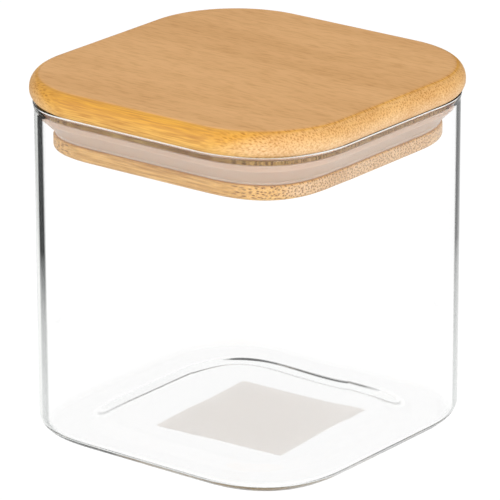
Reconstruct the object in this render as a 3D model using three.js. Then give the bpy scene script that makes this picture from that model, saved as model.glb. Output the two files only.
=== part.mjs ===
// Square glass storage jar with a bamboo push-in lid, in millimetres, +Z up.
// The jar stands on z = 0 with its middle on the Z axis. Front is -Y.
//
// Every main piece is a "square turning": a profile drawn on the plane through the
// middle of one side (x is the distance from the axis, y is the height) and carried
// round a square with round corners, as a lathe carries a profile round a circle.

import * as THREE from 'three';

// Glass jar
const JAR_WIDTH = 100;
const JAR_HEIGHT = 97.5;
const JAR_CORNER_RADIUS = 25.5;
const WALL = 1.7;
const FLOOR = 2.2;
const HEEL_RADIUS = 4.8;
const BEAD_OUTWARD = 0.3;
const BEAD_INWARD = 0.2;
const BEAD_RISE = 1.2;
const BEAD_RUN_OUT = 2;
const PUSH_UP = 0.7;
const PUSH_UP_SLOPE = 5;
const STAND_RING_WIDTH = 7.7;

// Lid board
const LID_OVERHANG = 2.2;
const LID_CORNER_RADIUS = 30.1;
const LID_THICKNESS = 7.45;
const LID_TOP_EASE_WIDTH = 3.6;
const LID_TOP_EASE_HEIGHT = 4.1;
const LID_UNDER_EASE_WIDTH = 2.8;
const LID_UNDER_EASE_HEIGHT = 3;
const LID_SEAT_CLEARANCE = 0.15;

// Plug, with the groove that holds the seal
const PLUG_DEPTH = 13.7;
const PLUG_CLEARANCE = 3.9;
const FLANGE_DEPTH = 3.95;
const GROOVE_HEIGHT = 5.35;
const GROOVE_DEPTH = 2.6;
const FOOT_TOP_EASE = 0.6;
const FOOT_ROUND = 2;

// Silicone seal
const SEAL_BAND_HEIGHT = 1;
const SEAL_BAND_SETBACK = 0.4;
const SEAL_LIP_HEIGHT = 2;
const SEAL_LIP_THICKNESS = 1.2;
const SEAL_LIP_RISE = 1.4;
const SEAL_GLASS_CLEARANCE = 0.4;
const SEAL_GROOVE_CLEARANCE = 0.15;

// Paper label under the base
const LABEL_WIDTH = 42;
const LABEL_LENGTH = 42.7;
const LABEL_CORNER_RADIUS = 0.6;
const LABEL_THICKNESS = 0.15;
const LABEL_TURN = THREE.MathUtils.degToRad(4);
const LABEL_X = 5;
const LABEL_Y = -1;

// Facets of corners, and of rounds in a profile
const CORNER_STEPS = 5;
const ROUND_STEPS = 3;

// Levels and half widths that several pieces share
const jarHalf = JAR_WIDTH / 2;
const jarCornerCentre = jarHalf - JAR_CORNER_RADIUS;
const insideHalf = jarHalf - WALL;
const lidHalf = jarHalf + LID_OVERHANG;
const lidCornerCentre = lidHalf - LID_CORNER_RADIUS;
const lidUnder = JAR_HEIGHT + LID_SEAT_CLEARANCE;
const plugHalf = insideHalf - PLUG_CLEARANCE;
const neckHalf = plugHalf - GROOVE_DEPTH;
const grooveTop = JAR_HEIGHT - FLANGE_DEPTH;
const footTop = grooveTop - GROOVE_HEIGHT;
const plugBottom = JAR_HEIGHT - PLUG_DEPTH;

// Rectangle with corners struck about the four points that lie the given distances out.
function roundedRectangle(centreX, centreY, radius) {
  const shape = new THREE.Shape();
  for (let corner = 0; corner < 4; corner += 1) {
    const start = (corner * Math.PI) / 2;
    const middle = start + Math.PI / 4;
    const x = Math.sign(Math.cos(middle)) * centreX;
    const y = Math.sign(Math.sin(middle)) * centreY;
    shape.absarc(x, y, radius, start, start + Math.PI / 2, false);
  }
  return shape;
}

// Points of one level of a square turning. All levels share their corner centres, so that
// walls keep one thickness round the corners.
function squareRing(half, cornerCentre) {
  return roundedRectangle(cornerCentre, cornerCentre, half - cornerCentre).getPoints(CORNER_STEPS);
}

// Carries a profile round the square. The profile runs anticlockwise. An open one starts
// and ends on flat faces, which are closed to the axis, and a closed one makes a ring.
function squareTurning(profile, cornerCentre, { ring = false } = {}) {
  const points = profile.getPoints(ROUND_STEPS);
  const levels = points.map(({ x, y }) => squareRing(x, cornerCentre).map((p) => [p.x, p.y, y]));
  const around = levels[0].length;
  const positions = levels.flat(2);
  const index = [];
  const spans = ring ? levels.length : levels.length - 1;
  for (let span = 0; span < spans; span += 1) {
    const low = span * around;
    const high = ((span + 1) % levels.length) * around;
    for (let step = 0; step < around; step += 1) {
      const next = (step + 1) % around;
      index.push(low + step, low + next, high + next, low + step, high + next, high + step);
    }
  }
  if (!ring) {
    const first = positions.length / 3;
    const lastLevel = (levels.length - 1) * around;
    positions.push(0, 0, points[0].y, 0, 0, points.at(-1).y);
    for (let step = 0; step < around; step += 1) {
      const next = (step + 1) % around;
      index.push(first, next, step, first + 1, lastLevel + step, lastLevel + next);
    }
  }
  const geometry = new THREE.BufferGeometry();
  geometry.setAttribute('position', new THREE.Float32BufferAttribute(positions, 3));
  geometry.setIndex(index);
  geometry.computeVertexNormals();
  return geometry;
}

// Quarter ellipse in a profile, from a compass angle that is given in quarter turns.
function quarterRound(path, centreX, centreY, width, height, fromQuarter, clockwise = false) {
  const start = (fromQuarter * Math.PI) / 2;
  const turn = clockwise ? -Math.PI / 2 : Math.PI / 2;
  path.absellipse(centreX, centreY, width, height, start, start + turn, clockwise);
}

// S curve in a profile that leaves and arrives upright.
function uprightEase(path, x, y) {
  const { x: fromX, y: fromY } = path.currentPoint;
  const middle = (fromY + y) / 2;
  path.bezierCurveTo(fromX, middle, x, middle, x, y);
}

// S curve in a profile that leaves and arrives level.
function levelEase(path, x, y) {
  const { x: fromX, y: fromY } = path.currentPoint;
  const middle = (fromX + x) / 2;
  path.bezierCurveTo(middle, fromY, middle, y, x, y);
}

// Blown jar: push-up under the base, stand ring, round heel, plain wall, a rim that is
// fire-polished to a slight bead, then down the inside to a floor that follows the heel.
function glassJar() {
  const standOuter = jarHalf - HEEL_RADIUS;
  const standInner = standOuter - STAND_RING_WIDTH;
  const rimOuter = jarHalf + BEAD_OUTWARD;
  const rimInner = insideHalf - BEAD_INWARD;
  const rimMiddle = (rimOuter + rimInner) / 2;
  const rimRadius = rimOuter - rimMiddle;
  const rimLevel = JAR_HEIGHT - BEAD_RISE;
  const fillet = HEEL_RADIUS - WALL;
  const profile = new THREE.Path();
  profile.moveTo(standInner - PUSH_UP_SLOPE, PUSH_UP);
  levelEase(profile, standInner, 0);
  profile.lineTo(standOuter, 0);
  quarterRound(profile, standOuter, HEEL_RADIUS, HEEL_RADIUS, HEEL_RADIUS, 3);
  profile.lineTo(jarHalf, rimLevel - BEAD_RUN_OUT);
  uprightEase(profile, rimOuter, rimLevel);
  quarterRound(profile, rimMiddle, rimLevel, rimRadius, BEAD_RISE, 0);
  quarterRound(profile, rimMiddle, rimLevel, rimRadius, BEAD_RISE, 1);
  uprightEase(profile, insideHalf, rimLevel - BEAD_RUN_OUT);
  profile.lineTo(insideHalf, FLOOR + fillet);
  quarterRound(profile, insideHalf - fillet, FLOOR + fillet, fillet, fillet, 4, true);
  return squareTurning(profile, jarCornerCentre);
}

// Cover board with a flat top and two unequal rounded edges.
function lidBoard() {
  const under = lidUnder + LID_UNDER_EASE_HEIGHT;
  const upper = lidUnder + LID_THICKNESS - LID_TOP_EASE_HEIGHT;
  const underFlat = lidHalf - LID_UNDER_EASE_WIDTH;
  const upperFlat = lidHalf - LID_TOP_EASE_WIDTH;
  const profile = new THREE.Path();
  profile.moveTo(underFlat, lidUnder);
  quarterRound(profile, underFlat, under, LID_UNDER_EASE_WIDTH, LID_UNDER_EASE_HEIGHT, 3);
  profile.lineTo(lidHalf, upper);
  quarterRound(profile, upperFlat, upper, LID_TOP_EASE_WIDTH, LID_TOP_EASE_HEIGHT, 0);
  return squareTurning(profile, lidCornerCentre);
}

// Plug glued under the board: a foot with a rounded lower edge, and a flange above it, with
// the seal's groove between them.
function lidPlug() {
  const lower = plugBottom + FOOT_ROUND;
  const upper = footTop - FOOT_TOP_EASE;
  const profile = new THREE.Path();
  profile.moveTo(plugHalf - FOOT_ROUND, plugBottom);
  quarterRound(profile, plugHalf - FOOT_ROUND, lower, FOOT_ROUND, FOOT_ROUND, 3);
  profile.lineTo(plugHalf, upper);
  quarterRound(profile, plugHalf - FOOT_TOP_EASE, upper, FOOT_TOP_EASE, FOOT_TOP_EASE, 0);
  profile.lineTo(neckHalf, footTop);
  profile.lineTo(neckHalf, grooveTop);
  profile.lineTo(plugHalf, grooveTop);
  profile.lineTo(plugHalf, lidUnder);
  return squareTurning(profile, jarCornerCentre);
}

// Seal: a band that fills the groove, flaring up into a lip that stands along the glass, clear
// of the flange, so that the lip can bend inwards.
function sealRing() {
  const inner = neckHalf + SEAL_GROOVE_CLEARANCE;
  const bandHalf = plugHalf - SEAL_BAND_SETBACK;
  const bandTop = footTop + SEAL_BAND_HEIGHT;
  const lipHalf = insideHalf - SEAL_GLASS_CLEARANCE;
  const shelf = grooveTop - SEAL_GROOVE_CLEARANCE;
  const lipTop = shelf + SEAL_LIP_RISE;
  const lipLow = lipTop - SEAL_LIP_HEIGHT;
  const lipRound = SEAL_LIP_THICKNESS / 2;
  const profile = new THREE.Path();
  profile.moveTo(inner, footTop);
  profile.lineTo(bandHalf, footTop);
  profile.lineTo(bandHalf, bandTop);
  profile.lineTo(lipHalf, lipLow);
  profile.lineTo(lipHalf, lipTop - lipRound);
  quarterRound(profile, lipHalf - lipRound, lipTop - lipRound, lipRound, lipRound, 0);
  quarterRound(profile, lipHalf - lipRound, lipTop - lipRound, lipRound, lipRound, 1);
  profile.lineTo(lipHalf - SEAL_LIP_THICKNESS, shelf);
  profile.lineTo(inner, shelf);
  return squareTurning(profile, jarCornerCentre, { ring: true });
}

// Square of paper with softened corners.
function baseLabel() {
  const centreX = LABEL_WIDTH / 2 - LABEL_CORNER_RADIUS;
  const centreY = LABEL_LENGTH / 2 - LABEL_CORNER_RADIUS;
  return new THREE.ExtrudeGeometry(roundedRectangle(centreX, centreY, LABEL_CORNER_RADIUS), {
    depth: LABEL_THICKNESS,
    bevelEnabled: false,
    curveSegments: ROUND_STEPS,
  });
}

function piece(name, geometry, finish) {
  const mesh = new THREE.Mesh(geometry, new THREE.MeshStandardMaterial(finish));
  mesh.name = name;
  return mesh;
}

const bamboo = { color: 0xd9ab72, roughness: 0.5, metalness: 0 };
const glass = { color: 0xe9f1ee, roughness: 0.03, metalness: 0, transparent: true, opacity: 0.25 };
const silicone = { color: 0xc6b7ae, roughness: 0.55, metalness: 0 };
const paper = { color: 0xe6e3de, roughness: 0.85, metalness: 0 };

const jar = new THREE.Group();
const label = piece('base_label', baseLabel(), paper);
label.position.set(LABEL_X, LABEL_Y, PUSH_UP - LABEL_THICKNESS);
label.rotation.z = LABEL_TURN;
jar.add(piece('glass_jar', glassJar(), glass), label);

const lid = new THREE.Group();
lid.add(
  piece('lid_board', lidBoard(), bamboo),
  piece('lid_plug', lidPlug(), bamboo),
  piece('seal_ring', sealRing(), silicone),
);

const storageJar = new THREE.Group();
storageJar.add(jar, lid);

export default storageJar;
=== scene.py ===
"""Looks of a square glass storage jar with a bamboo push-in lid and a silicone seal.

Jar, lid boards and seal are square turnings: a profile of half widths and heights, carried round a
square with round corners as a lathe carries one round a circle. Sizes are millimetres in the
classes, and metres in the meshes.
"""

import logging
import math
from dataclasses import dataclass, field
from enum import Enum
from typing import Any

import bpy
from bpy.types import ID, Material, Node, NodeSocket, NodeTree, Object
from mathutils import Matrix, Vector

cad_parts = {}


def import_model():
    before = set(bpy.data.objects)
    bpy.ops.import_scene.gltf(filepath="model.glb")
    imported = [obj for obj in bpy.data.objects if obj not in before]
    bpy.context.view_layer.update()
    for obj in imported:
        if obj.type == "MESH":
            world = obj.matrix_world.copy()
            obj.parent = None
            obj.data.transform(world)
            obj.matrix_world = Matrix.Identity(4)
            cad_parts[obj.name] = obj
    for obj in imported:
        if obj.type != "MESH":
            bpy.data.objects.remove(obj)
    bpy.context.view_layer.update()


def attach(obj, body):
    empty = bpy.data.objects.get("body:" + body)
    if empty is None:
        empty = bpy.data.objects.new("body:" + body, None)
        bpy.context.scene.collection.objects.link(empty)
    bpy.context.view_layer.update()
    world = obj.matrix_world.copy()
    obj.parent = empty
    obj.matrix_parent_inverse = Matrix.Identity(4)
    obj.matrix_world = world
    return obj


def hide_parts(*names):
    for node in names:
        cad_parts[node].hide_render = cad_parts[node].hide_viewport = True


MM = 0.001
MATH = "ShaderNodeMath"
VECTOR_MATH = "ShaderNodeVectorMath"
MAP_RANGE = "ShaderNodeMapRange"
MIX = "ShaderNodeMix"
SPLIT = "ShaderNodeSeparateXYZ"
JOIN = "ShaderNodeCombineXYZ"
COORDS = "ShaderNodeTexCoord"
NOISE = "ShaderNodeTexNoise"
PRINCIPLED = "ShaderNodeBsdfPrincipled"
OUTPUT = "ShaderNodeOutputMaterial"
LOG = logging.getLogger("storage_jar")

Point = tuple[float, float]
Triple = tuple[float, float, float]


class Slot(Enum):
    """Material slots of the record."""

    GLASS = "glass"
    PAPER = "paper"
    BAMBOO = "bamboo"
    SILICONE = "silicone"


class Body(Enum):
    """Rigid bodies of the jar."""

    JAR = "jar"
    LID = "lid"


def linear(hex_colour: str) -> tuple[float, float, float, float]:
    """Turns an sRGB hex colour to linear.

    Args:
        hex_colour: Six hex digits.

    Returns:
        Linear red, green, blue and an alpha of 1.
    """
    parts = [int(hex_colour[i:i + 2], 16) / 255 for i in (0, 2, 4)]
    red, green, blue = [p / 12.92 if p <= 0.04045 else ((p + 0.055) / 1.055) ** 2.4 for p in parts]
    return red, green, blue, 1.0


def add_node(tree: NodeTree, kind: str, **values: Any) -> Node:
    """Adds a node, with its settings, its socket values and the links into it.

    Args:
        tree: Tree that gets the node.
        kind: Node type.
        values: A setting of the node, or an input by its name with spaces as underscores, or by its
            place as in_0. A plain value is set and a socket is linked. Of a node, its first output
            in use is linked.

    Returns:
        The new node.
    """
    node = tree.nodes.new(kind)
    for name, value in values.items():
        if hasattr(node, name):
            setattr(node, name, value)
            continue
        if name.startswith("in_"):
            socket = node.inputs[int(name[3:])]
        else:
            socket = next(s for s in node.inputs if s.enabled and s.name == name.replace("_", " "))
        if isinstance(value, Node):
            value = next(s for s in value.outputs if s.enabled)
        if isinstance(value, NodeSocket):
            tree.links.new(value, socket)
        else:
            socket.default_value = value
    return node


def new_material(name: str) -> tuple[Material, NodeTree]:
    """Makes an empty node material.

    Args:
        name: Name of the material.

    Returns:
        The material and its tree.
    """
    material = bpy.data.materials.new(name)
    material.use_nodes = True
    material.node_tree.nodes.clear()
    return material, material.node_tree


def new_object(name: str, data: ID) -> Object:
    """Adds an object to the scene.

    Args:
        name: Name of the object.
        data: Its mesh, lamp or camera.

    Returns:
        The new object.
    """
    made = bpy.data.objects.new(name, data)
    bpy.context.scene.collection.objects.link(made)
    return made


@dataclass
class Profile:
    """Outline of a square turning in millimetres: half width, corner reach and height of each ring.

    The reach is how far a corner's curve would run along a side at the turning's reference half width.
    """

    reach: float
    points: list[Triple] = field(default_factory=list)

    def to(self, half: float, height: float) -> "Profile":
        """Adds one point."""
        self.points.append((half, self.reach, height))
        return self

    def arc(self, centre: Point, radii: Point, start: float, end: float, steps: int = 10) -> "Profile":
        """Adds an elliptical arc.

        Args:
            centre: Half width and height of the centre.
            radii: Radii across and up.
            start: First angle in degrees, anticlockwise from outwards.
            end: Last angle in degrees.
            steps: Chords in the arc.

        Returns:
            The profile.
        """
        for step in range(steps + 1):
            angle = math.radians(start + (end - start) * step / steps)
            self.to(centre[0] + radii[0] * math.cos(angle), centre[1] + radii[1] * math.sin(angle))
        return self

    def ease(self, half: float, height: float, upright: bool, steps: int = 8) -> "Profile":
        """Adds an S-shaped ease from the last point to a new one.

        Args:
            half: Half width of the new point.
            height: Height of the new point.
            upright: True if the ease starts and ends upright, False if level.
            steps: Chords in the ease.

        Returns:
            The profile.
        """
        start_half, _, start_height = self.points[-1]
        for step in range(1, steps + 1):
            share = step / steps
            smooth = share * share * (3 - 2 * share)
            across, up = (smooth, share) if upright else (share, smooth)
            self.to(start_half + (half - start_half) * across, start_height + (height - start_height) * up)
        return self


class SquareTurning:
    """Carries profiles round a square with round corners, by geometry nodes.

    Rings inside the core, which lies CORE_SHARE of the corner's reach in from the side, shrink to the
    axis as a whole, so that their corners don't fold.
    """

    CORNERS = 4
    CORNER_STEPS = 32
    SHARP_DEG = 32.0
    CORE_SHARE = 0.65
    MERGE = 1e-7
    NORMAL_WEIGHT = 100

    def __init__(self) -> None:
        """Builds the node tree once."""
        self.tree = self._tree()

    def _tree(self) -> NodeTree:
        """Makes the tree: a grid of profile points by steps round the square, set in place and closed.

        Returns:
            The new tree.
        """
        tree = bpy.data.node_groups.new("square_turning", "GeometryNodeTree")
        for name, kind in (
            ("Profile", "Object"), ("Reference Half", "Float"), ("Corner Power", "Float"),
            ("Corner Steps", "Int"), ("Sharp Angle", "Float"), ("Material", "Material"),
        ):
            tree.interface.new_socket(name, in_out="INPUT", socket_type="NodeSocket" + kind)
        tree.interface.new_socket("Geometry", in_out="OUTPUT", socket_type="NodeSocketGeometry")
        given = add_node(tree, "NodeGroupInput").outputs
        drawn = add_node(tree, "GeometryNodeObjectInfo", Object=given["Profile"]).outputs["Geometry"]
        rows = add_node(tree, "GeometryNodeAttributeDomainSize", Geometry=drawn).outputs["Point Count"]
        per_corner = add_node(tree, MATH, operation="ADD", in_0=given["Corner Steps"], in_1=1.0)
        around = add_node(tree, MATH, operation="MULTIPLY", in_0=per_corner, in_1=self.CORNERS)
        seam = add_node(tree, MATH, operation="ADD", in_0=around, in_1=1.0)
        grid = add_node(tree, "GeometryNodeMeshGrid", Vertices_X=seam, Vertices_Y=rows)
        corner, angle, point = self._place(tree, given, drawn, rows, per_corner, around)
        flat = self._corner(tree, given, angle, point)
        turn = add_node(tree, MATH, operation="MULTIPLY", in_0=corner, in_1=math.pi / 2)
        target = add_node(tree, "ShaderNodeVectorRotate", rotation_type="Z_AXIS", Vector=flat, Angle=turn)
        shape = add_node(tree, "GeometryNodeSetPosition", Geometry=grid.outputs["Mesh"], Position=target)
        shape = add_node(tree, "GeometryNodeMergeByDistance", Geometry=shape, Distance=self.MERGE)
        shape = add_node(tree, "GeometryNodeSetShadeSmooth", domain="FACE", Geometry=shape)
        bend = add_node(tree, "GeometryNodeInputMeshEdgeAngle").outputs["Unsigned Angle"]
        crease = add_node(
            tree, "FunctionNodeCompare", data_type="FLOAT", operation="GREATER_THAN",
            A=bend, B=given["Sharp Angle"],
        )
        shape = add_node(
            tree, "GeometryNodeSetShadeSmooth", domain="EDGE", Geometry=shape, Selection=crease,
            Shade_Smooth=False,
        )
        shape = add_node(tree, "GeometryNodeRealizeInstances", Geometry=shape)
        shape = add_node(tree, "GeometryNodeSetMaterial", Geometry=shape, Material=given["Material"])
        add_node(tree, "NodeGroupOutput", Geometry=shape)
        return tree

    def _place(
        self, tree: NodeTree, given: Any, drawn: NodeSocket, rows: NodeSocket,
        per_corner: Node, around: Node,
    ) -> tuple[Node, Node, Any]:
        """Finds what each grid point stands for.

        Args:
            tree: Tree that is built.
            given: Outputs of the group's input.
            drawn: The profile's points.
            rows: How many points the profile has.
            per_corner: How many points go round one corner.
            around: How many points go round the square.

        Returns:
            The corner's number, the angle in it, and the half width, reach and height of its ring.
        """
        index = add_node(tree, "GeometryNodeInputIndex")
        # Half a step in, each division stays clear of a whole number.
        middle = add_node(tree, MATH, operation="ADD", in_0=index, in_1=0.5)
        line = add_node(tree, MATH, operation="DIVIDE", in_0=middle, in_1=rows)
        line = add_node(tree, MATH, operation="FLOOR", in_0=line)
        column = add_node(tree, MATH, operation="MODULO", in_0=line, in_1=around)
        row = add_node(tree, MATH, operation="MODULO", in_0=middle, in_1=rows)
        row = add_node(tree, MATH, operation="FLOOR", in_0=row)
        place = add_node(tree, "GeometryNodeInputPosition")
        sample = add_node(
            tree, "GeometryNodeSampleIndex", data_type="FLOAT_VECTOR", domain="POINT",
            Geometry=drawn, Value=place, Index=row,
        )
        point = add_node(tree, SPLIT, in_0=sample).outputs
        inside = add_node(tree, MATH, operation="ADD", in_0=column, in_1=0.5)
        corner = add_node(tree, MATH, operation="DIVIDE", in_0=inside, in_1=per_corner)
        corner = add_node(tree, MATH, operation="FLOOR", in_0=corner)
        first = add_node(tree, MATH, operation="MULTIPLY", in_0=corner, in_1=per_corner)
        step = add_node(tree, MATH, operation="SUBTRACT", in_0=column, in_1=first)
        share = add_node(
            tree, MAP_RANGE, interpolation_type="SMOOTHSTEP", Value=step, From_Max=given["Corner Steps"]
        )
        angle = add_node(tree, MATH, operation="MULTIPLY", in_0=share, in_1=math.pi / 2)
        return corner, angle, point

    def _corner(self, tree: NodeTree, given: Any, angle: Node, point: Any) -> Node:
        """Places a point on the first corner: a power curve, set off by the ring's own half width.

        Args:
            tree: Tree that is built.
            given: Outputs of the group's input.
            angle: Angle of the corner's normal.
            point: Half width, reach and height of the ring.

        Returns:
            The point's place.
        """
        half, reach, reference = point["X"], point["Y"], given["Reference Half"]
        power = given["Corner Power"]
        less = add_node(tree, MATH, operation="SUBTRACT", in_0=power, in_1=1.0)
        bulge = add_node(tree, MATH, operation="DIVIDE", in_0=power, in_1=less)
        bend = add_node(tree, MATH, operation="DIVIDE", in_0=1.0, in_1=less)
        root = add_node(tree, MATH, operation="DIVIDE", in_0=-1.0, in_1=power)
        sides = [
            add_node(
                tree, MATH, operation="MAXIMUM", in_1=0.0,
                in_0=add_node(tree, MATH, operation=turn, in_0=angle),
            )
            for turn in ("COSINE", "SINE")
        ]
        powers = [add_node(tree, MATH, operation="POWER", in_0=side, in_1=bulge) for side in sides]
        total = add_node(tree, MATH, operation="ADD", in_0=powers[0], in_1=powers[1])
        size = add_node(tree, MATH, operation="POWER", in_0=total, in_1=root)
        size = add_node(tree, MATH, operation="MULTIPLY", in_0=size, in_1=reach)
        deep = add_node(tree, MATH, operation="MULTIPLY", in_0=reach, in_1=self.CORE_SHARE)
        core = add_node(tree, MATH, operation="SUBTRACT", in_0=reference, in_1=deep)
        shrink = add_node(tree, MATH, operation="DIVIDE", in_0=half, in_1=core)
        shrink = add_node(tree, MATH, operation="MINIMUM", in_0=shrink, in_1=1.0)
        offset = add_node(tree, MATH, operation="MAXIMUM", in_0=half, in_1=core)
        offset = add_node(tree, MATH, operation="SUBTRACT", in_0=offset, in_1=reference)
        start = add_node(tree, MATH, operation="SUBTRACT", in_0=reference, in_1=reach)
        local = []
        for side in sides:
            curve = add_node(tree, MATH, operation="POWER", in_0=side, in_1=bend)
            curve = add_node(tree, MATH, operation="MULTIPLY_ADD", in_0=curve, in_1=size, in_2=start)
            place = add_node(tree, MATH, operation="MULTIPLY_ADD", in_0=offset, in_1=side, in_2=curve)
            local.append(add_node(tree, MATH, operation="MULTIPLY", in_0=place, in_1=shrink))
        return add_node(tree, JOIN, X=local[0], Y=local[1], Z=point["Z"])

    def make(
        self, name: str, profile: Profile, reference: float, power: float, material: Material
    ) -> Object:
        """Turns a profile into a finished piece.

        Args:
            name: Name of the piece.
            profile: Profile that starts and ends on the axis, or closes on itself.
            reference: Half width at which the profile's corner reaches hold.
            power: Power of the corner curve: 2 is a circle, and more runs out softer into the sides.
            material: Finish of the piece.

        Returns:
            The piece, as a plain mesh object at the origin.
        """
        drawn = bpy.data.meshes.new(name + "_profile")
        drawn.from_pydata([[size * MM for size in point] for point in profile.points], [], [])
        guide = new_object(name + "_profile", drawn)
        maker = new_object(name + "_maker", bpy.data.meshes.new(name + "_maker"))
        turning = maker.modifiers.new("turning", "NODES")
        turning.node_group = self.tree
        inputs = {
            "Profile": guide, "Reference Half": reference * MM, "Corner Power": power,
            "Corner Steps": self.CORNER_STEPS, "Sharp Angle": math.radians(self.SHARP_DEG),
            "Material": material,
        }
        for item in self.tree.interface.items_tree:
            if item.in_out == "INPUT":
                turning[item.identifier] = inputs[item.name]
        weighted = maker.modifiers.new("weighted", "WEIGHTED_NORMAL")
        weighted.keep_sharp = True
        weighted.weight = self.NORMAL_WEIGHT
        bpy.context.view_layer.update()
        graph = bpy.context.evaluated_depsgraph_get()
        mesh = bpy.data.meshes.new_from_object(
            maker.evaluated_get(graph), preserve_all_data_layers=True, depsgraph=graph
        )
        mesh.name = name
        mesh.materials.clear()
        mesh.materials.append(material)
        mesh.polygons.foreach_set("material_index", [0] * len(mesh.polygons))
        for helper in (maker, guide):
            bpy.data.objects.remove(helper)
        return new_object(name, mesh)


@dataclass(frozen=True)
class BlownGlass:
    """Clear soda-lime glass, mould-blown and fire-polished: mirror smooth, clear face on, pale green
    where it is seen along its depth, and with a painted dark band, standing for mirrored dark
    surroundings, where an upright wall turns away at an outer edge.

    The painted band fades towards the base. On the -x -y side a painted pale outline runs outside it,
    and on the other side the band is narrower and runs out to the outline.
    """

    name: str = "blown_glass"
    clear: str = "ffffff"
    painted_shade_low: str = "abafad"
    painted_shade_high: str = "080909"
    outline: str = "d8dcd8"
    low: float = 8.0
    high: float = 55.0
    upright: Point = (0.2, 0.5)
    edge_start: Point = (0.55, 0.6)
    edge_end: Point = (0.71, 0.76)
    # The painted band narrows on the +x +y side; the painted pale outline lies on the -x -y side.
    narrowing: float = 0.12
    side_axis: Triple = (1.0, 1.0, 0.0)
    side_ramp: float = 20.0
    ior: float = 1.48
    depth: str = "bcdad1"
    density: float = 2.0

    def material(self) -> Material:
        """Builds the material.

        Returns:
            The new material.
        """
        material, tree = new_material(self.name)
        shader = add_node(
            tree, PRINCIPLED, Base_Color=self._tint(tree), Roughness=0.0, IOR=self.ior,
            Transmission_Weight=1.0,
        )
        body = add_node(tree, "ShaderNodeVolumeAbsorption", Color=linear(self.depth), Density=self.density)
        add_node(tree, OUTPUT, Surface=shader, Volume=body)
        return material

    def _tint(self, tree: NodeTree) -> Node:
        """Makes the tint: clear, but for the painted dark band and pale outline at the outer edges.

        Args:
            tree: Tree of the material.

        Returns:
            The node that gives the tint.
        """
        place = add_node(tree, COORDS).outputs["Object"]
        level = add_node(tree, SPLIT, in_0=place).outputs["Z"]
        # Painted shade: the band runs from pale grey at the base to near black higher up.
        height = add_node(tree, MAP_RANGE, Value=level, From_Min=self.low * MM, From_Max=self.high * MM)
        edge = add_node(
            tree, MIX, data_type="RGBA", Factor=height, A=linear(self.painted_shade_low), B=linear(self.painted_shade_high)
        )
        turned, pale = self._turned(tree, place)
        band = add_node(tree, MIX, data_type="RGBA", Factor=pale, A=edge, B=linear(self.outline))
        wall = self._outer_wall(tree, place)
        share = add_node(tree, MATH, operation="MULTIPLY", in_0=wall, in_1=turned)
        return add_node(tree, MIX, data_type="RGBA", Factor=share, A=linear(self.clear), B=band)

    def _turned(self, tree: NodeTree, place: NodeSocket) -> tuple[Node, Node]:
        """Finds where the glass turns away.

        Args:
            tree: Tree of the material.
            place: Place on the jar.

        Returns:
            The share of the painted dark band, and the share of the painted pale outline in it.
        """
        diagonal = add_node(
            tree, VECTOR_MATH, operation="DOT_PRODUCT", in_0=place, in_1=self.side_axis
        ).outputs["Value"]
        narrow_side = add_node(
            tree, MAP_RANGE, interpolation_type="SMOOTHSTEP", Value=diagonal,
            From_Min=-self.side_ramp * MM, From_Max=self.side_ramp * MM,
        )
        facing = add_node(tree, "ShaderNodeLayerWeight", Blend=0.5).outputs["Facing"]
        facing = add_node(
            tree, MATH, operation="MULTIPLY_ADD", in_0=narrow_side, in_1=-self.narrowing, in_2=facing
        )
        turned, spent = [
            add_node(
                tree, MAP_RANGE, interpolation_type="SMOOTHSTEP", Value=facing, From_Min=start, From_Max=end
            )
            for start, end in (self.edge_start, self.edge_end)
        ]
        # thin is 1 on the -x -y side, which gets the painted pale outline; the glass is no thinner there.
        thin = add_node(tree, MATH, operation="SUBTRACT", in_0=1.0, in_1=narrow_side)
        return turned, add_node(tree, MATH, operation="MULTIPLY", in_0=spent, in_1=thin)

    def _outer_wall(self, tree: NodeTree, place: NodeSocket) -> Node:
        """Finds the upright outer faces.

        Args:
            tree: Tree of the material.
            place: Place on the jar.

        Returns:
            The node that gives 1 on them, and 0 inside and on level faces.
        """
        normal = add_node(tree, "ShaderNodeNewGeometry").outputs["Normal"]
        tilt = add_node(tree, SPLIT, in_0=normal).outputs["Z"]
        tilt = add_node(tree, MATH, operation="ABSOLUTE", in_0=tilt)
        upright = add_node(
            tree, MAP_RANGE, Value=tilt, From_Min=self.upright[0], From_Max=self.upright[1],
            To_Min=1.0, To_Max=0.0,
        )
        outward = add_node(
            tree, VECTOR_MATH, operation="DOT_PRODUCT", in_0=place, in_1=normal
        ).outputs["Value"]
        outside = add_node(tree, MATH, operation="GREATER_THAN", in_0=outward, in_1=0.0)
        return add_node(tree, MATH, operation="MULTIPLY", in_0=upright, in_1=outside)


@dataclass(frozen=True)
class Grain:
    """One pattern of marks in the wood.

    The size of a mark is in millimetres along, across and through the board. The limits cut the marks
    out of a noise, and the share is how much of the mark's colour they take.
    """

    size: Triple
    limits: Point
    share: float
    detail: float = 2.0
    roughness: float = 0.55


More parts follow.
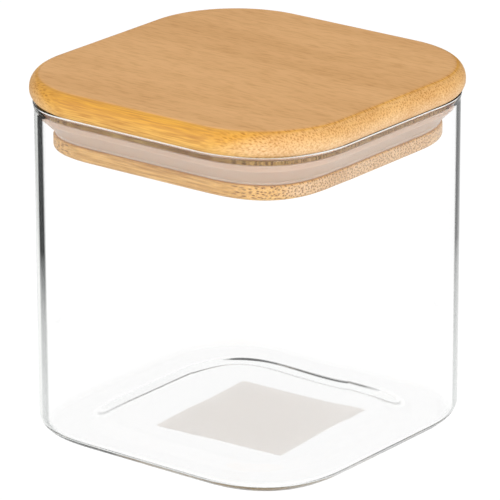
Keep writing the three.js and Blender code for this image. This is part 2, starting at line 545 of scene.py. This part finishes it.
@dataclass(frozen=True)
class SandedBamboo:
    """Laminated bamboo, sanded and thinly lacquered: tan with short flecks on top, straw with fine streaks
    along its sides, golden at the upper edge, and dotted with fibre bundles where it is cut across."""

    name: str = "sanded_bamboo"
    top: str = "e6b276"
    top_turn: Point = (0.92, 0.975)
    end: str = "efcc9e"
    end_turn: Point = (0.05, 0.65)
    cut_turn: Point = (0.05, 0.28)
    pale: str = "f2c268"
    golden: str = "e4a945"
    golden_hold: float = 0.5
    streak: str = "bd8440"
    bundle: str = "a0601a"
    strip_width: float = 21.7
    strip_edge: float = 27.7
    strip_share: float = 0.2
    bundle_pitch: float = 0.75
    bundle_radius: float = 0.2
    bundle_fade: Point = (0.4, 1.6)
    bundle_depth: Point = (0.35, 0.85)
    bundle_scatter: float = 0.9
    # Single fibres are too fine to show, so these marks are as coarse as the render needs.
    fibre: Grain = Grain((9.0, 0.45, 0.45), (0.35, 0.7), 0.8)
    fleck: Grain = Grain((5.0, 0.9, 0.9), (0.45, 0.75), 0.4)
    grit: Grain = Grain((3.0, 0.4, 0.4), (0.4, 0.7), 0.5)
    cloud: Grain = Grain((60.0, 9.0, 9.0), (0.35, 0.7), 0.25)
    drift: Triple = (14.0, 5.0, 5.0)
    drift_detail: float = 1.0
    plain_dot_share: float = 0.4
    golden_dot_share: float = 0.85
    # The golden zone runs up between these two levels: the cover's denser outer layer, and on the plug the
    # flange, whose pale gold is painted light.
    golden_start: float = 99.5
    golden_full: float = 103.5
    seed: float = 3.0
    roughness: float = 0.5
    gloss: float = 0.2
    relief: float = 0.1
    relief_strength: float = 0.1

    def material(self) -> Material:
        """Builds the material.

        Returns:
            The new material.
        """
        material, tree = new_material(self.name)
        coords = add_node(tree, COORDS).outputs
        mm = add_node(tree, VECTOR_MATH, operation="SCALE", in_0=coords["Object"], Scale=1 / MM)
        place = add_node(tree, SPLIT, in_0=mm).outputs
        normal = add_node(tree, SPLIT, in_0=coords["Normal"]).outputs
        endways = add_node(tree, MATH, operation="ABSOLUTE", in_0=normal["X"])
        upward, cut, bare, golden_zone = [
            add_node(
                tree, MAP_RANGE, interpolation_type="SMOOTHSTEP", Value=value,
                From_Min=limits[0], From_Max=limits[1],
            )
            for value, limits in (
                (normal["Z"], self.top_turn), (endways, self.cut_turn), (endways, self.end_turn),
                (place["Z"], (self.golden_start, self.golden_full)),
            )
        ]
        side = add_node(
            tree, MIX, data_type="RGBA", Factor=golden_zone, A=linear(self.pale), B=linear(self.golden)
        )
        sawn = add_node(
            tree, MATH, operation="MULTIPLY_ADD", use_clamp=True,
            in_0=golden_zone, in_1=-self.golden_hold, in_2=bare,
        )
        side = add_node(tree, MIX, data_type="RGBA", Factor=sawn, A=side, B=linear(self.end))
        ground = add_node(tree, MIX, data_type="RGBA", Factor=upward, A=side, B=linear(self.top))
        streaks = self._streaks(tree, mm, place["Y"], upward, cut)
        wood = add_node(tree, MIX, data_type="RGBA", Factor=streaks, A=ground, B=linear(self.streak))
        dots = self._bundles(tree, mm, golden_zone, cut)
        colour = add_node(tree, MIX, data_type="RGBA", Factor=dots, A=wood, B=linear(self.bundle))
        marks = add_node(tree, MATH, operation="ADD", in_0=streaks, in_1=dots)
        bump = add_node(
            tree, "ShaderNodeBump", invert=True, Strength=self.relief_strength, Distance=self.relief * MM,
            Height=marks,
        )
        shader = add_node(
            tree, PRINCIPLED, Base_Color=colour, Roughness=self.roughness,
            Specular_IOR_Level=self.gloss, Normal=bump,
        )
        add_node(tree, OUTPUT, Surface=shader)
        return material

    def _streaks(self, tree: NodeTree, mm: Node, across: NodeSocket, upward: Node, cut: Node) -> Node:
        """Makes the share of streak colour, from the grains and the glued strips.

        Args:
            tree: Tree of the material.
            mm: Place in millimetres.
            across: Its part across the fibres.
            upward: 1 on the top face.
            cut: 1 where the fibres are cut across.

        Returns:
            The node that gives the share.
        """
        fibre, fleck, grit, cloud = [
            add_node(
                tree, MAP_RANGE, From_Min=grain.limits[0], From_Max=grain.limits[1], To_Max=grain.share,
                Value=add_node(
                    tree, NOISE, Scale=1.0, Detail=grain.detail, Roughness=grain.roughness,
                    Vector=add_node(tree, VECTOR_MATH, operation="DIVIDE", in_0=mm, in_1=grain.size),
                ),
            )
            for grain in (self.fibre, self.fleck, self.grit, self.cloud)
        ]
        lines = add_node(tree, MIX, data_type="FLOAT", Factor=upward, A=fibre, B=fleck)
        fine = add_node(tree, MIX, data_type="FLOAT", Factor=cut, A=lines, B=grit)
        strip = add_node(tree, MATH, operation="SUBTRACT", in_0=across, in_1=self.strip_edge)
        strip = add_node(tree, MATH, operation="DIVIDE", in_0=strip, in_1=self.strip_width)
        strip = add_node(tree, MATH, operation="FLOOR", in_0=strip)
        cell = add_node(tree, JOIN, X=strip, Y=self.seed)
        tone = add_node(tree, "ShaderNodeTexWhiteNoise", noise_dimensions="2D", Vector=cell)
        broad = add_node(
            tree, MATH, operation="MULTIPLY_ADD",
            in_0=tone.outputs["Value"], in_1=self.strip_share, in_2=cloud,
        )
        return add_node(tree, MATH, operation="ADD", use_clamp=True, in_0=fine, in_1=broad)

    def _bundles(self, tree: NodeTree, mm: Node, golden_zone: Node, cut: Node) -> Node:
        """Makes the share of bundle colour: dots on the end grain, that crowd in the golden zone of the
        cover, where its wood is denser.

        Args:
            tree: Tree of the material.
            mm: Place in millimetres.
            golden_zone: 1 in the golden zone: the cover's denser outer side, and the plug's flange, whose
                pale gold is painted light.
            cut: 1 where the fibres are cut across.

        Returns:
            The node that gives the share.
        """
        waves = add_node(
            tree, NOISE, Scale=1.0, Detail=self.drift_detail,
            Vector=add_node(tree, VECTOR_MATH, operation="DIVIDE", in_0=mm, in_1=self.drift),
        )
        bent = add_node(tree, VECTOR_MATH, operation="ADD", in_0=mm, in_1=waves.outputs["Color"])
        _, across, up = add_node(tree, SPLIT, in_0=bent).outputs
        section = add_node(tree, JOIN, X=across, Y=up)
        cell = add_node(
            tree, "ShaderNodeTexVoronoi", voronoi_dimensions="2D", feature="F1", Vector=section,
            Scale=1 / self.bundle_pitch, Randomness=self.bundle_scatter,
        ).outputs
        size = self.bundle_radius / self.bundle_pitch
        dots = add_node(
            tree, MAP_RANGE, interpolation_type="SMOOTHSTEP", Value=cell["Distance"],
            From_Min=self.bundle_fade[0] * size, From_Max=self.bundle_fade[1] * size,
            To_Min=1.0, To_Max=0.0,
        )
        strength = add_node(
            tree, MAP_RANGE, To_Min=self.bundle_depth[0], To_Max=self.bundle_depth[1],
            Value=add_node(tree, SPLIT, in_0=cell["Color"]).outputs["X"],
        )
        dots = add_node(tree, MATH, operation="MULTIPLY", in_0=dots, in_1=strength)
        dots = add_node(tree, MATH, operation="MULTIPLY", in_0=dots, in_1=cut)
        share = add_node(tree, MAP_RANGE, Value=golden_zone, To_Min=self.plain_dot_share, To_Max=self.golden_dot_share)
        return add_node(tree, MATH, operation="MULTIPLY", in_0=dots, in_1=share)


@dataclass(frozen=True)
class MouldedSilicone:
    """Milky silicone rubber, moulded: satin, and soft all through, as light gets deep into it."""

    name: str = "moulded_silicone"
    colour: str = "c4ab97"
    haze: float = 11.0
    haze_detail: float = 2.0
    roughness: Point = (0.39, 0.51)
    ior: float = 1.41
    glow: Triple = (1.0, 0.8, 0.7)
    glow_depth: float = 3.0

    def material(self) -> Material:
        """Builds the material.

        Returns:
            The new material.
        """
        material, tree = new_material(self.name)
        place = add_node(tree, COORDS).outputs["Object"]
        haze = add_node(tree, NOISE, Vector=place, Scale=1 / (self.haze * MM), Detail=self.haze_detail)
        rough = add_node(tree, MAP_RANGE, Value=haze, To_Min=self.roughness[0], To_Max=self.roughness[1])
        shader = add_node(
            tree, PRINCIPLED, Base_Color=linear(self.colour), Roughness=rough, IOR=self.ior,
            Subsurface_Weight=1.0, Subsurface_Radius=self.glow, Subsurface_Scale=self.glow_depth * MM,
        )
        add_node(tree, OUTPUT, Surface=shader)
        return material


@dataclass(frozen=True)
class LabelPaper:
    """Uncoated label paper: matt, warm white with a faint fibre mottle, and thin enough to let light in."""

    name: str = "label_paper"
    colour: str = "fefcfa"
    mottle: str = "f7f4f1"
    # Paper fibres are too fine to show, so their mottle is drawn this coarse.
    fibre: float = 0.6
    fibre_detail: float = 3.0
    roughness: float = 0.9
    ior: float = 1.1
    translucency: float = 0.48

    def material(self) -> Material:
        """Builds the material.

        Returns:
            The new material.
        """
        material, tree = new_material(self.name)
        place = add_node(tree, COORDS).outputs["Object"]
        felt = add_node(tree, NOISE, Vector=place, Scale=1 / (self.fibre * MM), Detail=self.fibre_detail)
        colour = add_node(
            tree, MIX, data_type="RGBA", Factor=felt.outputs["Fac"],
            A=linear(self.colour), B=linear(self.mottle),
        )
        shader = add_node(
            tree, PRINCIPLED, Base_Color=colour, Roughness=self.roughness, IOR=self.ior,
            Transmission_Weight=self.translucency,
        )
        add_node(tree, OUTPUT, Surface=shader)
        return material


@dataclass
class GlassJar:
    """Blown glass body: an even shell with a round heel, a push-up under its base and a beaded rim."""

    half: float = 50.0
    height: float = 97.5
    corner_reach: float = 30.8
    corner_power: float = 2.5
    wall: float = 1.7
    floor: float = 2.2
    heel: float = 4.8
    fillet: float = 1.8
    bead_out: float = 0.3
    bead_in: float = 0.2
    bead_rise: float = 0.6
    bead_length: float = 2.0
    push_up: float = 0.7
    push_up_half: float = 30.5
    push_up_slope: float = 8.6
    push_up_reach: float = 38.0
    slope_steps: int = 12
    round_steps: int = 14
    rim_steps: int = 24

    def profile(self) -> Profile:
        """Draws the section from the middle of the underside round the rim to the middle of the floor.

        Returns:
            The profile.
        """
        inside = self.half - self.wall
        stand = self.half - self.heel
        foot_half = self.push_up_half + self.push_up_slope
        rim_half = self.half + self.bead_out
        rim_radius = (rim_half - inside + self.bead_in) / 2
        rim_level = self.height - self.bead_rise
        drawn = Profile(self.push_up_reach).to(0, self.push_up).to(self.push_up_half, self.push_up)
        drawn.ease(foot_half, 0, upright=False, steps=self.slope_steps)
        drawn.reach = self.corner_reach
        drawn.arc((stand, self.heel), (self.heel, self.heel), -90, 0, self.round_steps)
        drawn.to(self.half, rim_level - self.bead_length)
        drawn.ease(rim_half, rim_level, upright=True)
        rim_middle = (rim_half - rim_radius, rim_level)
        drawn.arc(rim_middle, (rim_radius, self.bead_rise), 0, 180, self.rim_steps)
        drawn.ease(inside, rim_level - self.bead_length, upright=True)
        fillet_middle = (inside - self.fillet, self.floor + self.fillet)
        drawn.arc(fillet_middle, (self.fillet, self.fillet), 0, -90, self.round_steps)
        return drawn.to(0, self.floor)

    def build(self, turning: SquareTurning) -> list[Object]:
        """Makes and dresses the body.

        Args:
            turning: Maker of square turnings.

        Returns:
            The pieces made.
        """
        piece = turning.make(
            "glass_body", self.profile(), self.half, self.corner_power, BlownGlass().material()
        )
        piece.visible_shadow = False
        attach(piece, Body.JAR.value)
        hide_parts("glass_jar")
        return [piece]


@dataclass
class BambooLid:
    """Two glued bamboo boards: the cover, and the plug with its flange, seal groove and foot."""

    half: float = 52.2
    corner_radius: float = 30.1
    corner_power: float = 2.0
    plug_reference: float = 50.0
    plug_reach: float = 30.5
    plug_power: float = 2.5
    under: float = 97.65
    top: float = 105.1
    top_ease: Point = (3.6, 4.1)
    under_ease: Point = (2.8, 3.0)
    plug_half: float = 44.4
    neck_half: float = 41.8
    foot_top: float = 88.2
    groove_top: float = 93.55
    plug_bottom: float = 83.8
    foot_round: float = 1.5
    foot_ease: float = 0.6
    top_steps: int = 14
    under_steps: int = 12
    ease_steps: int = 6

    def cover_profile(self) -> Profile:
        """Draws the cover board.

        Returns:
            The profile.
        """
        drawn = Profile(self.corner_radius).to(0, self.under)
        low = (self.half - self.under_ease[0], self.under + self.under_ease[1])
        high = (self.half - self.top_ease[0], self.top - self.top_ease[1])
        drawn.arc(low, self.under_ease, -90, 0, self.under_steps)
        drawn.arc(high, self.top_ease, 0, 90, self.top_steps)
        return drawn.to(0, self.top)

    def plug_profile(self) -> Profile:
        """Draws the plug board: the foot, the groove over it and the flange under the cover.

        Returns:
            The profile.
        """
        drawn = Profile(self.plug_reach).to(0, self.plug_bottom)
        low = (self.plug_half - self.foot_round, self.plug_bottom + self.foot_round)
        high = (self.plug_half - self.foot_ease, self.foot_top - self.foot_ease)
        drawn.arc(low, (self.foot_round, self.foot_round), -90, 0)
        drawn.arc(high, (self.foot_ease, self.foot_ease), 0, 90, self.ease_steps)
        drawn.to(self.neck_half, self.foot_top).to(self.neck_half, self.groove_top)
        drawn.to(self.plug_half, self.groove_top).to(self.plug_half, self.under)
        return drawn.to(0, self.under)

    def plug_finish(self) -> SandedBamboo:
        """Chooses the plug's finish: bolder dots, an end colour only at the ends, and a flange in a pale
        gold that is painted light, lighter than the wood against the shade under the cover.

        Returns:
            The finish.
        """
        # The flange's pale gold is painted light: lighter than the wood, against the shade in the slot
        # under the cover.
        return SandedBamboo(
            name="sanded_bamboo_plug", pale="ecc07a", end="f2d4ac", end_turn=(0.7, 0.98), golden="ffe08c",
            streak="b07c3a", bundle="7a420a", bundle_depth=(0.6, 1.0), plain_dot_share=1.0, seed=8.0,
            strip_edge=15.0, golden_start=self.foot_top, golden_full=self.foot_top + self.foot_ease,
        )

    def build(self, turning: SquareTurning) -> list[Object]:
        """Makes and dresses both boards.

        Args:
            turning: Maker of square turnings.

        Returns:
            The pieces made.
        """
        cover = turning.make(
            "cover_board", self.cover_profile(), self.half, self.corner_power, SandedBamboo().material()
        )
        plug = turning.make(
            "plug_board", self.plug_profile(), self.plug_reference, self.plug_power,
            self.plug_finish().material(),
        )
        for piece, node in ((cover, "lid_board"), (plug, "lid_plug")):
            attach(piece, Body.LID.value)
            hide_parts(node)
        return [cover, plug]


@dataclass
class SealRing:
    """Silicone ring in the groove, with a lip that flares straight out to the glass."""

    reference: float = 50.0
    corner_reach: float = 30.8
    corner_power: float = 2.5
    inner: float = 41.95
    band_half: float = 44.0
    lip_half: float = 47.9
    bottom: float = 88.25
    band_top: float = 89.2
    lip_low: float = 93.4
    lip_top: float = 95.4
    lip_thickness: float = 1.2
    trough: float = 93.4
    band_round: float = 0.5
    band_steps: int = 6

    def profile(self) -> Profile:
        """Draws the ring's section.

        Returns:
            The profile.
        """
        lip_round = self.lip_thickness / 2
        band = self.band_round
        drawn = Profile(self.corner_reach).to(self.inner, self.bottom)
        drawn.arc((self.band_half - band, self.bottom + band), (band, band), -90, 0, self.band_steps)
        drawn.to(self.band_half, self.band_top).to(self.lip_half, self.lip_low)
        lip_middle = (self.lip_half - lip_round, self.lip_top - lip_round)
        drawn.arc(lip_middle, (lip_round, lip_round), 0, 180)
        drawn.to(self.lip_half - self.lip_thickness, self.trough).to(self.inner, self.trough)
        return drawn.to(self.inner, self.bottom)

    def build(self, turning: SquareTurning) -> list[Object]:
        """Makes and dresses the ring.

        Args:
            turning: Maker of square turnings.

        Returns:
            The pieces made.
        """
        piece = turning.make(
            "lip_seal", self.profile(), self.reference, self.corner_power, MouldedSilicone().material()
        )
        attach(piece, Body.LID.value)
        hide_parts("seal_ring")
        return [piece]


@dataclass
class BaseLabel:
    """Blank paper label under the base."""

    width: float = 42.0
    length: float = 42.7
    corner: float = 0.6
    place: Point = (5.0, -1.0)
    turn: float = 4.0
    under: float = 0.55
    top: float = 0.66
    corner_steps: int = 6

    def outline(self) -> list[Point]:
        """Draws the label's outline.

        Returns:
            Its points, anticlockwise.
        """
        centres = ((1, 1, 0), (-1, 1, 90), (-1, -1, 180), (1, -1, 270))
        turn = math.radians(self.turn)
        drawn = []
        for across, along, start in centres:
            for step in range(self.corner_steps + 1):
                angle = math.radians(start + 90 * step / self.corner_steps)
                x = across * (self.width / 2 - self.corner) + self.corner * math.cos(angle)
                y = along * (self.length / 2 - self.corner) + self.corner * math.sin(angle)
                drawn.append((
                    self.place[0] + x * math.cos(turn) - y * math.sin(turn),
                    self.place[1] + x * math.sin(turn) + y * math.cos(turn),
                ))
        return drawn

    def build(self) -> list[Object]:
        """Makes and dresses the label, a hair under the glass so that light reaches its face.

        Returns:
            The pieces made.
        """
        outline = self.outline()
        count = len(outline)
        corners = [(x * MM, y * MM, z * MM) for z in (self.under, self.top) for x, y in outline]
        sides = [(i, (i + 1) % count, count + (i + 1) % count, count + i) for i in range(count)]
        mesh = bpy.data.meshes.new("paper_label")
        faces = [tuple(reversed(range(count))), tuple(range(count, 2 * count)), *sides]
        mesh.from_pydata(corners, [], faces)
        mesh.materials.append(LabelPaper().material())
        piece = new_object("paper_label", mesh)
        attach(piece, Body.JAR.value)
        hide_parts("base_label")
        return [piece]


@dataclass(frozen=True)
class SoftLamp:
    """Square soft lamp that faces the jar: place, side and the height it aims at in millimetres, power
    in watts."""

    name: str
    place: Triple
    power: float
    side: float = 800.0
    aim: float = 60.0

    def hang(self) -> None:
        """Hangs the lamp, out of sight of the camera and through the glass."""
        data = bpy.data.lights.new(self.name, "AREA")
        data.size = self.side * MM
        data.energy = self.power
        lamp = new_object(self.name, data)
        spot = Vector(self.place) * MM
        aim = Vector((0, 0, self.aim * MM)) - spot
        lamp.matrix_world = Matrix.Translation(spot) @ aim.to_track_quat("-Z", "Y").to_matrix().to_4x4()
        lamp.visible_camera = False
        lamp.visible_transmission = False


@dataclass
class Studio:
    """White floor and surround, soft lamps, and the camera at the photograph's view.

    Dark cards in the surround and dark flags beside the jar stand behind it. The glass mirrors them at
    its edges, as it does in a photographer's studio, and they don't light the jar.
    """

    azimuth: float = 38.046
    elevation: float = 19.338
    roll: float = -0.166
    target: Triple = (1.815, -1.675, 51.686)
    distance: float = 1320.27
    lens: float = 336.17
    sensor: float = 36.0
    ambient: Point = (1.0, 0.5)
    ambient_rise: float = 0.7
    ceiling: float = 0.65
    ceiling_rise: float = 0.8
    left_card: Point = (-0.7, 0.17)
    right_card: Point = (0.44, 0.34)
    card_depth: float = 0.8
    card_through_glass: float = 0.25
    flag_edge: Point = (110.0, 170.0)
    flag_slant: float = 0.35
    left_flag: float = 0.9
    right_flag: float = 0.4
    floor_half: float = 3000.0
    floor_level: float = -0.05
    floor_light: float = 0.98
    floor_through_glass: float = 0.02
    floor_bounce: float = 0.8
    floor_colour: str = "4a4a4a"
    glass_bounces: int = 48
    lamps: tuple[SoftLamp, ...] = (
        SoftLamp("key_lamp", (-250.0, -1000.0, 400.0), 5.0),
        SoftLamp("fill_lamp", (1000.0, -350.0, 380.0), 7.6),
        SoftLamp("top_lamp", (-100.0, 200.0, 1100.0), 2.8),
    )

    def camera(self) -> None:
        """Sets the camera."""
        azimuth, elevation, roll = (math.radians(a) for a in (self.azimuth, self.elevation, self.roll))
        level = math.cos(elevation)
        back = Vector((math.sin(azimuth) * level, -math.cos(azimuth) * level, math.sin(elevation)))
        data = bpy.data.cameras.new("photo_view")
        data.sensor_width = self.sensor
        data.lens = self.lens
        camera = new_object("photo_view", data)
        right = Vector((math.cos(azimuth), math.sin(azimuth), 0))
        up = back.cross(right)
        rolled = right * math.cos(roll) + up * math.sin(roll)
        upright = up * math.cos(roll) - right * math.sin(roll)
        turn = Matrix((rolled, upright, back)).transposed().to_4x4()
        spot = Vector(self.target) * MM + back * self.distance * MM
        camera.matrix_world = Matrix.Translation(spot) @ turn
        bpy.context.scene.camera = camera

    def seen(self, tree: NodeTree) -> Node:
        """Finds the rays that the camera sees, straight, mirrored or through glass.

        Args:
            tree: Tree of the world or the floor.

        Returns:
            The node that gives 1 for them, and 0 for rays that light something.
        """
        path = add_node(tree, "ShaderNodeLightPath").outputs
        bent = add_node(
            tree, MATH, operation="MAXIMUM", in_0=path["Is Glossy Ray"], in_1=path["Is Transmission Ray"]
        )
        sight = add_node(tree, MATH, operation="MAXIMUM", in_0=path["Is Camera Ray"], in_1=bent)
        return add_node(
            tree, MATH, operation="SUBTRACT", use_clamp=True, in_0=sight, in_1=path["Diffuse Depth"]
        )

    def mirrored(self, tree: NodeTree, through_glass: float = 0.0) -> Node:
        """Finds mirrored rays.

        Args:
            tree: Tree of the world or the floor.
            through_glass: What a ray through glass counts for.

        Returns:
            The node that gives 1 for a mirrored ray.
        """
        path = add_node(tree, "ShaderNodeLightPath").outputs
        return add_node(
            tree, MATH, operation="MULTIPLY_ADD", use_clamp=True,
            in_0=path["Is Transmission Ray"], in_1=through_glass - 1, in_2=path["Is Glossy Ray"],
        )

    def across_view(self, tree: NodeTree, vector: NodeSocket) -> tuple[NodeSocket, NodeSocket]:
        """Splits a place or a direction by the photograph's view.

        Args:
            tree: Tree of the world or the floor.
            vector: The place or direction.

        Returns:
            Its part to the right, and its part away from the camera.
        """
        turn = math.radians(self.azimuth)
        sideways, away = [
            add_node(tree, VECTOR_MATH, operation="DOT_PRODUCT", in_0=vector, in_1=axis)
            for axis in ((math.cos(turn), math.sin(turn), 0.0), (-math.sin(turn), math.cos(turn), 0.0))
        ]
        return sideways.outputs["Value"], away.outputs["Value"]

    def cards(self, tree: NodeTree, direction: NodeSocket) -> Node:
        """Stands dark cards in the surround, for mirrored rays and faintly for rays through glass.

        Args:
            tree: Tree of the world.
            direction: Direction of the ray.

        Returns:
            The node that gives 1 on a card.
        """
        sideways, away = self.across_view(tree, direction)
        left, right = [
            add_node(tree, MATH, operation="COMPARE", in_0=sideways, in_1=middle, in_2=half)
            for middle, half in (self.left_card, self.right_card)
        ]
        both = add_node(tree, MATH, operation="ADD", in_0=left, in_1=right)
        behind = add_node(tree, MATH, operation="GREATER_THAN", in_0=away, in_1=0.0)
        both = add_node(tree, MATH, operation="MULTIPLY", in_0=both, in_1=behind)
        mirrored = self.mirrored(tree, self.card_through_glass)
        return add_node(tree, MATH, operation="MULTIPLY", in_0=both, in_1=mirrored)

    def world(self) -> None:
        """Sets white walls under a grey ceiling, that light the object at the ambient level."""
        world = bpy.data.worlds.new("white_surround")
        bpy.context.scene.world = world
        world.use_nodes = True
        tree = world.node_tree
        tree.nodes.clear()
        direction = add_node(tree, COORDS).outputs["Generated"]
        rise = add_node(tree, SPLIT, in_0=direction).outputs["Z"]
        wall, light = [
            add_node(
                tree, MAP_RANGE, interpolation_type="SMOOTHSTEP", Value=rise,
                From_Max=top, To_Min=level, To_Max=overhead,
            )
            for top, level, overhead in (
                (self.ceiling_rise, 1.0, self.ceiling), (self.ambient_rise, *self.ambient),
            )
        ]
        strength = add_node(tree, MAP_RANGE, Value=self.seen(tree), To_Min=light, To_Max=wall)
        strength = add_node(
            tree, MATH, operation="MULTIPLY_ADD", use_clamp=True,
            in_0=self.cards(tree, direction), in_1=-self.card_depth, in_2=strength,
        )
        surround = add_node(tree, "ShaderNodeBackground", Strength=strength)
        add_node(tree, "ShaderNodeOutputWorld", Surface=surround)

    def flags(self, tree: NodeTree) -> Node:
        """Lays dark flags on the floor, at both sides behind the jar, for mirrored rays alone.

        Args:
            tree: Tree of the floor's material.

        Returns:
            The node that gives what the flags take from the floor's light, as a negative.
        """
        place = add_node(tree, COORDS).outputs["Object"]
        sideways, away = self.across_view(tree, place)
        left, right = [
            add_node(
                tree, MAP_RANGE, interpolation_type="SMOOTHSTEP", Value=sideways,
                From_Min=side * self.flag_edge[0] * MM, From_Max=side * self.flag_edge[1] * MM,
                To_Max=-depth,
            )
            for side, depth in ((-1, self.left_flag), (1, self.right_flag))
        ]
        both = add_node(tree, MATH, operation="ADD", in_0=left, in_1=right)
        off = add_node(tree, MATH, operation="ABSOLUTE", in_0=sideways)
        slant = add_node(tree, MATH, operation="MULTIPLY_ADD", in_0=off, in_1=-self.flag_slant, in_2=away)
        behind = add_node(tree, MATH, operation="GREATER_THAN", in_0=slant, in_1=0.0)
        both = add_node(tree, MATH, operation="MULTIPLY", in_0=both, in_1=behind)
        return add_node(tree, MATH, operation="MULTIPLY", in_0=both, in_1=self.mirrored(tree))

    def floor(self) -> None:
        """Lays the floor: white where it is seen, a little whiter through glass, with a soft shadow."""
        material, tree = new_material("white_floor")
        strength = add_node(
            tree, MAP_RANGE, Value=self.seen(tree), To_Min=self.floor_bounce, To_Max=self.floor_light
        )
        path = add_node(tree, "ShaderNodeLightPath").outputs
        through = add_node(
            tree, MATH, operation="SUBTRACT", use_clamp=True,
            in_0=path["Is Transmission Ray"], in_1=path["Diffuse Depth"],
        )
        strength = add_node(
            tree, MATH, operation="MULTIPLY_ADD", in_0=through, in_1=self.floor_through_glass, in_2=strength
        )
        strength = add_node(
            tree, MATH, operation="ADD", use_clamp=True, in_0=self.flags(tree), in_1=strength
        )
        glow = add_node(tree, "ShaderNodeEmission", Strength=strength)
        paper = add_node(tree, "ShaderNodeBsdfDiffuse", Color=linear(self.floor_colour))
        both = add_node(tree, "ShaderNodeAddShader", in_0=paper, in_1=glow)
        add_node(tree, OUTPUT, Surface=both)
        reach = self.floor_half * MM
        level = self.floor_level * MM
        corners = [(x * reach, y * reach, level) for x, y in ((-1, -1), (1, -1), (1, 1), (-1, 1))]
        mesh = bpy.data.meshes.new("floor")
        mesh.from_pydata(corners, [], [(0, 1, 2, 3)])
        mesh.materials.append(material)
        floor = new_object("floor", mesh)

    def build(self) -> None:
        """Sets up the whole studio."""
        bpy.context.scene.view_settings.view_transform = "Standard"
        bounces = bpy.context.scene.cycles
        bounces.max_bounces = bounces.transmission_bounces = bounces.glossy_bounces = self.glass_bounces
        self.camera()
        self.world()
        self.floor()
        for lamp in self.lamps:
            lamp.hang()


def main() -> None:
    """Builds the jar around its frame, then the studio."""
    logging.basicConfig(level=logging.INFO, format="%(name)s: %(message)s")
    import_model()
    turning = SquareTurning()
    made = GlassJar().build(turning)
    made += BambooLid().build(turning)
    made += SealRing().build(turning)
    made += BaseLabel().build()
    for piece in made:
        LOG.info("%s: %d faces", piece.name, len(piece.data.polygons))
    Studio().build()


if __name__ == "__main__":
    main()
